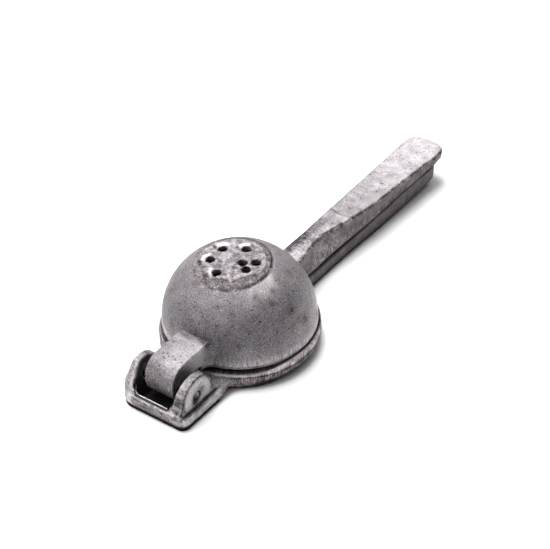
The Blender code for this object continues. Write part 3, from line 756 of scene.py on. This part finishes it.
def casting_flash():
    """The thin fin that the mould's joint left along the front bar's inner top edge, jagged at its end."""
    fin_x = SLOT_FRONT_X - 0.25
    fin_foot_z = BAR_TOP_Z - 1.6
    fin_height = 1.6
    thickness = 0.45
    bend_from_y = 7.2
    route = [(fin_x, y, 0.0) for y in np.arange(-7.4, bend_from_y, 0.3)]
    for turn in np.linspace(0.1, math.pi / 2, 9):
        bend_x = fin_x + 0.9 * (1 - math.cos(turn))
        route.append((bend_x, bend_from_y + 1.4 * math.sin(turn), 1.3 * turn * turn))
    shell = bmesh.new()
    rows = []
    for step, (x, y, climb) in enumerate(route):
        jag = noise.noise(Vector((0.9 * step, 4.0, 7.0)))
        lean = 0.1 * noise.noise(Vector((0.5 * step, 9.0, 1.0)))
        foot = fin_foot_z + climb
        top = foot + fin_height + (0.2 * jag if y < TONGUE_CLEAR_Y else 0.4 + 0.5 * jag)
        corners = ((x - thickness / 2, foot), (x - thickness / 4 + lean, top),
                   (x + thickness / 4 + lean, top), (x + thickness / 2, foot))
        rows.append([shell.verts.new(BOWL_FOOT + Vector((across, y, up)) * MM) for across, up in corners])
    for row, next_row in zip(rows, rows[1:]):
        for i in range(4):
            j = (i + 1) % 4
            shell.faces.new((row[i], row[j], next_row[j], next_row[i]))
    shell.faces.new(rows[0])
    shell.faces.new(rows[-1])
    bmesh.ops.recalc_face_normals(shell, faces=shell.faces)
    mesh = mesh_from(shell, "casting_flash")
    # The fin is painted near white, as a painted glint along its edge.
    keep_mask(mesh, "tone", np.full(len(mesh.vertices), 0.95))
    return place_new("casting_flash", mesh)


def steel_pin():
    """The hinge pin, turned with a chamfer and a shallow dimple at each end."""
    low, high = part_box("hinge_pin")
    radius = (high.x - low.x) / 2
    chamfer = 0.4 * MM
    # From the middle of an end outwards: distance from the axis, and depth below the end.
    end = ((0.0, 0.25 * MM), (radius * 0.35, 0.12 * MM), (radius * 0.6, 0.0),
           (radius - chamfer, 0.04 * MM), (radius, chamfer))
    profile = [(across, low.y + depth) for across, depth in end]
    profile += [(across, high.y - depth) for across, depth in reversed(end)]
    shell = bmesh.new()
    corners = [shell.verts.new((0.0, along, across)) for across, along in profile]
    edges = [shell.edges.new(pair) for pair in zip(corners, corners[1:])]
    bmesh.ops.spin(shell, geom=corners + edges, cent=(0, 0, 0), axis=(0, 1, 0),
                   angle=math.tau, steps=64, use_merge=True)
    bmesh.ops.remove_doubles(shell, verts=shell.verts, dist=1e-7)
    bmesh.ops.translate(shell, verts=shell.verts, vec=((low.x + high.x) / 2, 0.0, (low.z + high.z) / 2))
    bmesh.ops.recalc_face_normals(shell, faces=shell.faces)
    mesh = mesh_from(shell, "steel_pin")
    mesh.shade_smooth()
    from_axis = np.array([vertex.co - HINGE for vertex in mesh.vertices]) / radius
    # The pin's end is painted lighter towards +X and upwards and darker on the other side, as painted light
    # and shade across it.
    keep_mask(mesh, "tone", 0.15 + 0.4 * from_axis[:, 0] + 0.3 * from_axis[:, 2])
    return place_new("steel_pin", mesh)


# ---------------------------------------------------------------- materials

class Recipe:
    """Short names for the nodes of one material."""

    def __init__(self, name):
        self.material = bpy.data.materials.new(name)
        self.material.use_nodes = True
        self.tree = self.material.node_tree
        self.shader = self.tree.nodes["Principled BSDF"]

    def node(self, kind, inputs, output=0, **settings):
        """Add a node, set or link its inputs, and return one of its outputs."""
        made = self.tree.nodes.new(kind)
        for name, value in settings.items():
            setattr(made, name, value)
        for key, value in inputs.items():
            if isinstance(value, bpy.types.NodeSocket):
                self.tree.links.new(value, made.inputs[key])
            else:
                made.inputs[key].default_value = value
        return made.outputs[output]

    def millimetres(self, stretch=(1.0, 1.0, 1.0)):
        """The object's own coordinates in millimetres, squeezed along an axis to draw marks along it."""
        scale = tuple(share / MM for share in stretch)
        place = self.node("ShaderNodeTexCoord", {}, "Object")
        return self.node("ShaderNodeMapping", {"Vector": place, "Scale": scale})

    def noise(self, place, size, detail=3.0, roughness=0.6):
        return self.node("ShaderNodeTexNoise", {"Vector": place, "Scale": 1.0 / size, "Detail": detail,
                                                "Roughness": roughness}, "Fac")

    def math(self, operation, first, second):
        return self.node("ShaderNodeMath", {0: first, 1: second}, operation=operation)

    def total(self, start, terms):
        """The start plus each share times its value, less the middle of that value."""
        for value, share, middle in terms:
            centred = self.math("SUBTRACT", value, middle)
            start = self.node("ShaderNodeMath", {0: centred, 1: share, 2: start}, operation="MULTIPLY_ADD")
        return start

    def steps(self, value, low, high, start=0.0, end=1.0):
        """The start below low, the end above high, and smooth from one to the other."""
        return self.node("ShaderNodeMapRange", {"Value": value, "From Min": low, "From Max": high,
                                                "To Min": start, "To Max": end},
                         interpolation_type="SMOOTHSTEP")

    def mask(self, name):
        return self.node("ShaderNodeAttribute", {}, "Fac", attribute_name=name)

    def ramp(self, value, stops):
        """The colour at a value between stops, each a place from 0 to 1 and a colour."""
        made = self.tree.nodes.new("ShaderNodeValToRGB")
        self.tree.links.new(value, made.inputs[0])
        band = made.color_ramp
        while len(band.elements) < len(stops):
            band.elements.new(0.5)
        for element, (place, colour) in zip(band.elements, stops):
            element.position = place
            element.color = (*colour, 1.0)
        return made.outputs["Color"]

    def set(self, **inputs):
        """Set or link the shader's own inputs, named with _ for each space."""
        for name, value in inputs.items():
            socket = self.shader.inputs[name.replace("_", " ")]
            if isinstance(value, bpy.types.NodeSocket):
                self.tree.links.new(value, socket)
            else:
                socket.default_value = value


# Bare aluminium from dark to light: dirty metal and painted shade at the dark end, freshly rubbed metal and
# painted highlights at the light end.
METAL_TONES = (
    (0.0, (0.030, 0.027, 0.029)),
    (0.25, (0.150, 0.135, 0.145)),
    (0.5, (0.360, 0.336, 0.350)),
    (0.75, (0.600, 0.570, 0.589)),
    (1.0, (0.860, 0.850, 0.860)),
)
# The brown cast that juice and oil leave in the roughest metal.
WARM_TINT = (1.0, 0.87, 0.80, 1.0)


def cast_aluminium(name):
    """Raw cast aluminium: grain, mottling, pits, file marks, dirty places and painted shade, over the tones
    kept on its points, which hold painted light and shade as well.
    """
    recipe = Recipe(name)
    place = recipe.millimetres()
    tone, dirt_and_shade, calm = recipe.mask("tone"), recipe.mask("dirt_and_shade"), recipe.mask("calm")
    grain = recipe.noise(place, 0.55, 3.0, 0.8)
    speckle = recipe.steps(recipe.noise(place, 0.42, 2.0, 0.5), 0.62, 0.74)
    rough = recipe.mask("rough")
    rough_grain = recipe.math("MULTIPLY", rough, recipe.math("SUBTRACT", grain, 0.5))
    rough_speckle = recipe.math("MULTIPLY", rough, speckle)
    mottle = recipe.noise(place, 3.6, 5.0, 0.62)
    patches = recipe.noise(place, 16.0, 3.0, 0.55)
    along = recipe.noise(recipe.millimetres((0.12, 1.0, 1.0)), 0.8, 3.0, 0.6)
    upright = recipe.noise(recipe.millimetres((1.0, 1.0, 0.1)), 0.7, 3.0, 0.7)
    cells = {"Vector": place, "Scale": 0.42, "Randomness": 1.0}
    cell_distance = recipe.node("ShaderNodeTexVoronoi", cells, "Distance")
    cell_colour = recipe.node("ShaderNodeTexVoronoi", cells, "Color")
    few = recipe.steps(cell_colour, 0.55, 0.6)
    pits = recipe.math("MULTIPLY", recipe.steps(cell_distance, 0.10, 0.17, 1.0, 0.0), few)
    upright_share = recipe.math("MULTIPLY", recipe.mask("upright"), recipe.math("SUBTRACT", upright, 0.5))
    calmer = recipe.steps(calm, 0.0, 1.0, 1.0, 0.35)
    cloud = recipe.math("MULTIPLY", recipe.math("SUBTRACT", mottle, 0.5), calmer)

    value = recipe.total(tone, (
        (grain, 0.25, 0.5), (rough_grain, 0.85, 0.0), (rough_speckle, -0.18, 0.0), (cloud, 0.42, 0.0),
        (patches, 0.14, 0.5), (along, 0.08, 0.5),
        (upright_share, 1.3, 0.0), (dirt_and_shade, -0.32, 0.0), (pits, -0.34, 0.0),
    ))
    bare = recipe.ramp(value, METAL_TONES)
    colour = recipe.node("ShaderNodeMix", {"Factor": recipe.mask("warm"), "A": bare, "B": WARM_TINT}, 2,
                         data_type="RGBA", blend_type="MULTIPLY")
    roughness = recipe.total(0.56, (
        (grain, 0.3, 0.5), (mottle, 0.2, 0.5), (recipe.mask("shine"), -0.14, 0.0), (dirt_and_shade, 0.2, 0.0),
    ))
    relief = recipe.total(0.0, (
        (grain, 0.14, 0.5), (rough_grain, 0.2, 0.0), (cloud, 0.25, 0.0), (along, 0.08, 0.5),
        (upright_share, 0.2, 0.0), (pits, -0.25, 0.0),
    ))
    normal = recipe.node("ShaderNodeBump", {"Height": relief, "Distance": MM, "Strength": 1.0})
    recipe.set(Base_Color=colour, Roughness=roughness, Normal=normal, Metallic=0.92)
    return recipe.material


# Steel from dark to light: grimy steel and painted shade at the dark end, rubbed steel and painted light at
# the light end.
STEEL_TONES = (
    (0.0, (0.02, 0.018, 0.019)),
    (0.5, (0.20, 0.19, 0.195)),
    (1.0, (0.50, 0.49, 0.49)),
)


def dull_steel():
    """Dull steel with grimy blotches, over the tones kept on its points, which hold painted light and shade.
    """
    recipe = Recipe("dull_steel")
    place = recipe.millimetres()
    grain = recipe.noise(place, 0.35, 3.0, 0.6)
    blotch = recipe.noise(place, 1.6, 3.0, 0.6)
    value = recipe.total(recipe.mask("tone"), ((grain, 0.5, 0.5), (blotch, 0.7, 0.5)))
    colour = recipe.ramp(value, STEEL_TONES)
    normal = recipe.node("ShaderNodeBump", {"Height": grain, "Distance": 0.05 * MM, "Strength": 1.0})
    roughness = recipe.total(0.45, ((blotch, 0.4, 0.5),))
    recipe.set(Base_Color=colour, Roughness=roughness, Normal=normal, Metallic=0.95)
    return recipe.material


def finish_piece(thing, material, body, node):
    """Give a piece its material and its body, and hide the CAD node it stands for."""
    thing.data.materials.append(material)
    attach(thing, body)
    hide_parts(node)


# ---------------------------------------------------------------- camera, floor and lights

# The angles are in degrees, the lens and sensor in millimetres, and the other lengths here in metres.
CAMERA_BEARING = 54.42
CAMERA_RISE = 38.67
CAMERA_DISTANCE = 0.936
CAMERA_TARGET = BOWL_FOOT + Vector((0.0413, 0.0119, 0.0))
LENS = 144.0
SENSOR = 36.0
FLOOR_HALF_WIDTH = 3.0


def view_axes():
    """Unit vectors across the floor as the camera sees them: to the right and away."""
    angle = math.radians(CAMERA_BEARING)
    away = Vector((math.sin(angle), math.cos(angle), 0.0))
    right = Vector((math.cos(angle), -math.sin(angle), 0.0))
    return right, away


def add_camera():
    rise = math.radians(CAMERA_RISE)
    _, away = view_axes()
    back = -away * math.cos(rise) + Vector((0.0, 0.0, math.sin(rise)))
    lens = bpy.data.cameras.new("camera")
    lens.lens = LENS
    lens.sensor_width = SENSOR
    lens.clip_start = 0.05
    lens.clip_end = 20.0
    camera = place_new("camera", lens)
    camera.location = CAMERA_TARGET + back * CAMERA_DISTANCE
    camera.rotation_euler = (-back).to_track_quat("-Z", "Y").to_euler()
    bpy.context.scene.camera = camera


def add_floor():
    shell = bmesh.new()
    bmesh.ops.create_grid(shell, x_segments=1, y_segments=1, size=FLOOR_HALF_WIDTH)
    floor = place_new("floor", mesh_from(shell, "floor"))
    recipe = Recipe("pale_floor")
    recipe.set(Base_Color=(0.88, 0.88, 0.88, 1.0), Roughness=0.9, Specular_IOR_Level=0.1)
    floor.data.materials.append(recipe.material)


def add_softbox(name, right_by, away_by, up_by, size, power):
    """A square area light, placed as the camera sees it and aimed at the squeezer."""
    right, away = view_axes()
    light = bpy.data.lights.new(name, "AREA")
    light.shape = "SQUARE"
    light.size = size
    light.energy = power
    lamp = place_new(name, light)
    lamp.location = right * right_by + away * away_by + Vector((0.0, 0.0, up_by))
    lamp.rotation_euler = (-lamp.location).to_track_quat("-Z", "Y").to_euler()


def add_studio(right_by, away_by, dim, bright):
    """A soft studio all round, brightest overhead and towards one side as the camera sees it."""
    right, away = view_axes()
    towards = (right * right_by + away * away_by + Vector((0.0, 0.0, 1.0))).normalized()
    world = bpy.data.worlds.new("studio")
    world.use_nodes = True
    tree = world.node_tree
    direction = tree.nodes.new("ShaderNodeTexCoord").outputs["Generated"]
    facing = tree.nodes.new("ShaderNodeVectorMath")
    facing.operation = "DOT_PRODUCT"
    facing.inputs[1].default_value = towards
    climb = tree.nodes.new("ShaderNodeMapRange")
    climb.interpolation_type = "SMOOTHSTEP"
    climb.inputs["From Min"].default_value = 0.2
    climb.inputs["To Min"].default_value = dim
    climb.inputs["To Max"].default_value = bright
    tree.links.new(direction, facing.inputs[0])
    tree.links.new(facing.outputs["Value"], climb.inputs["Value"])
    background = tree.nodes["Background"]
    background.inputs["Color"].default_value = (1.0, 1.0, 1.0, 1.0)
    tree.links.new(climb.outputs[0], background.inputs["Strength"])
    bpy.context.scene.world = world


add_camera()
add_floor()
add_studio(right_by=-0.40, away_by=0.30, dim=0.03, bright=1.4)
add_softbox("top_light", right_by=-0.25, away_by=0.26, up_by=1.1, size=0.75, power=22.0)
bpy.context.scene.view_settings.view_transform = "Standard"

upper_metal = cast_aluminium("cast_aluminium_upper")
lower_metal = cast_aluminium("cast_aluminium_lower")
finish_piece(strainer_casting(), upper_metal, "strainer", "strainer_lever")
finish_piece(presser_casting(), lower_metal, "presser", "presser_lever")
finish_piece(steel_pin(), dull_steel(), "presser", "hinge_pin")
flash = casting_flash()
flash.data.materials.append(lower_metal)
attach(flash, "presser")
